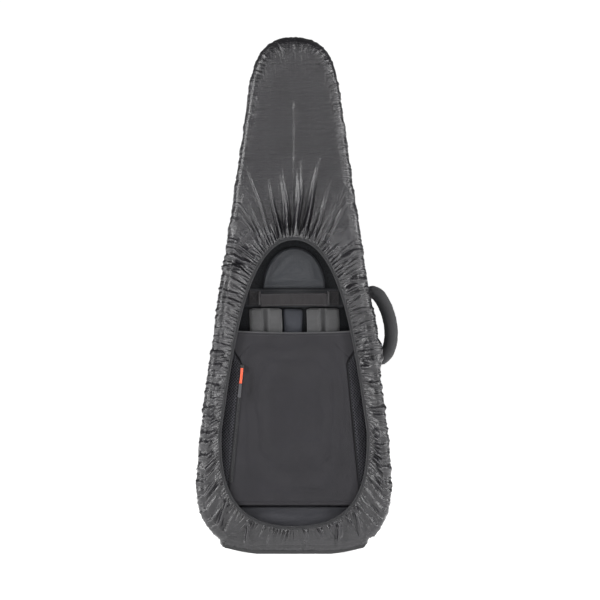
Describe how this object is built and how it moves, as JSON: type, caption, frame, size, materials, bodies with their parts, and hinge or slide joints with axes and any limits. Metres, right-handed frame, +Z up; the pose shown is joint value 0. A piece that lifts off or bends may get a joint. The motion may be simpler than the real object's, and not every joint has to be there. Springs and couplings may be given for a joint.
{
  "type": "padded gig bag",
  "caption": "Padded guitar gig bag standing on a rubber boot, with a hinged zip lid, carry handles, stowed shoulder straps and a removable rain cover.",
  "frame": {"origin": "on the floor under the middle of the padded shell, on the flat of the boot's sole", "axes": "+Z up along the bag to the head, -Y out of the carrying side with the straps, +X to the side with the padded handle"},
  "size_m": [0.4144, 0.1833, 1.0504],
  "materials": {
    "ballistic": "coarse black-grey ballistic weave",
    "plush": "short plush lining",
    "ripstop": "thin coated nylon, half gloss",
    "elastic": "bound elastic edge",
    "webbing": "ribbed webbing",
    "strap_cloth": "padded strap cloth",
    "handle_cloth": "padded handle sleeve",
    "air_mesh": "open diamond mesh",
    "boot_rubber": "matt moulded rubber",
    "black_plastic": "satin moulding",
    "zip_cloth": "zip tape with nylon coil",
    "orange_cord": "round orange cord",
    "grey_grip": "soft moulded grip",
    "foam": "foam covered in plush"
  },
  "bodies": {
    "bag": {"back_panel": "ballistic", "side_wall": "ballistic", "back_lining": "plush", "back_piping": "elastic", "main_zip_wall_half": "zip_cloth", "lid_fabric_hinge": "ballistic", "main_zip_slider_upper": "black_plastic", "main_zip_slider_lower": "black_plastic", "rubber_boot": "boot_rubber", "end_cushion": "foam", "neck_rest": "foam", "neck_strap": "webbing", "upper_back_pad": "ballistic", "lower_back_pad": "ballistic", "grab_handle_foot_left": "webbing", "grab_handle_foot_right": "webbing", "strap_yoke": "ballistic", "pocket_face": "ballistic", "pocket_top_binding": "elastic", "pocket_mesh_left": "air_mesh", "pocket_mesh_right": "air_mesh", "pocket_zip_tape": "zip_cloth", "side_handle_anchor_upper": "webbing", "side_handle_anchor_lower": "webbing", "shoulder_strap_left": "strap_cloth", "strap_buckle_left": "black_plastic", "strap_webbing_left": "webbing", "strap_hook_left": "black_plastic", "strap_d_ring_left": "black_plastic", "strap_d_ring_loop_left": "webbing", "shoulder_strap_right": "strap_cloth", "strap_buckle_right": "black_plastic", "strap_webbing_right": "webbing", "strap_hook_right": "black_plastic", "strap_d_ring_right": "black_plastic", "strap_d_ring_loop_right": "webbing"},
    "cover": {"rain_cover": "ripstop", "cover_elastic_hem": "elastic", "cover_handle_slit_binding": "elastic"},
    "lid": {"lid_panel": "ballistic", "lid_lining": "plush", "main_zip_lid_half": "zip_cloth", "front_pocket": "ballistic", "front_pocket_zip": "zip_cloth", "head_pocket": "ballistic", "head_pocket_zip": "zip_cloth"},
    "front_slider": {"front_pocket_slider": "black_plastic"},
    "head_slider": {"head_pocket_slider": "black_plastic"},
    "grab_handle": {"grab_handle": "webbing"},
    "side_handle": {"side_handle_core": "webbing", "side_handle_sleeve": "handle_cloth"},
    "pocket_slider": {"pocket_zip_slider": "black_plastic"},
    "pocket_pull": {"zip_pull_cord": "orange_cord", "zip_pull_grip": "grey_grip"}
  },
  "joints": [
    {"name": "cover_off", "type": "slide", "parent": "bag", "child": "cover", "axis": [0, 1, 0], "range_m": [0, 0.8], "deforming": ["rain_cover", "cover_elastic_hem", "cover_handle_slit_binding"]},
    {"name": "lid_open", "type": "hinge", "parent": "bag", "child": "lid", "pos_m": [-0.19084, 0.03715, 0.18554], "axis": [0.1315, 0, 0.9913], "range_deg": [0, 110]},
    {"name": "front_pocket_zip_slide", "type": "slide", "parent": "lid", "child": "front_slider", "axis": [1, 0, 0], "range_m": [0, 0.187]},
    {"name": "head_pocket_zip_slide", "type": "slide", "parent": "lid", "child": "head_slider", "axis": [1, 0, 0], "range_m": [0, 0.066]},
    {"name": "grab_handle_swing", "type": "hinge", "parent": "bag", "child": "grab_handle", "pos_m": [0, -0.073, 0.5198], "axis": [1, 0, 0], "range_deg": [-75, 75]},
    {"name": "side_handle_swing", "type": "hinge", "parent": "bag", "child": "side_handle", "pos_m": [0.1693, 0, 0.46544], "axis": [-0.1416, 0, 0.9899], "range_deg": [-65, 65]},
    {"name": "pocket_zip_slide", "type": "slide", "parent": "bag", "child": "pocket_slider", "axis": [-0.0958, 0, -0.9954], "range_m": [0, 0.224]},
    {"name": "pocket_zip_pull_flip", "type": "hinge", "parent": "pocket_slider", "child": "pocket_pull", "pos_m": [-0.10525, -0.081, 0.378], "axis": [-0.9954, 0, 0.0958], "range_deg": [0, 150]}
  ],
  "couplings": [
    {"joint": "lid_open", "follows": "cover_off", "rad_per_m": 2.4}
  ]
}
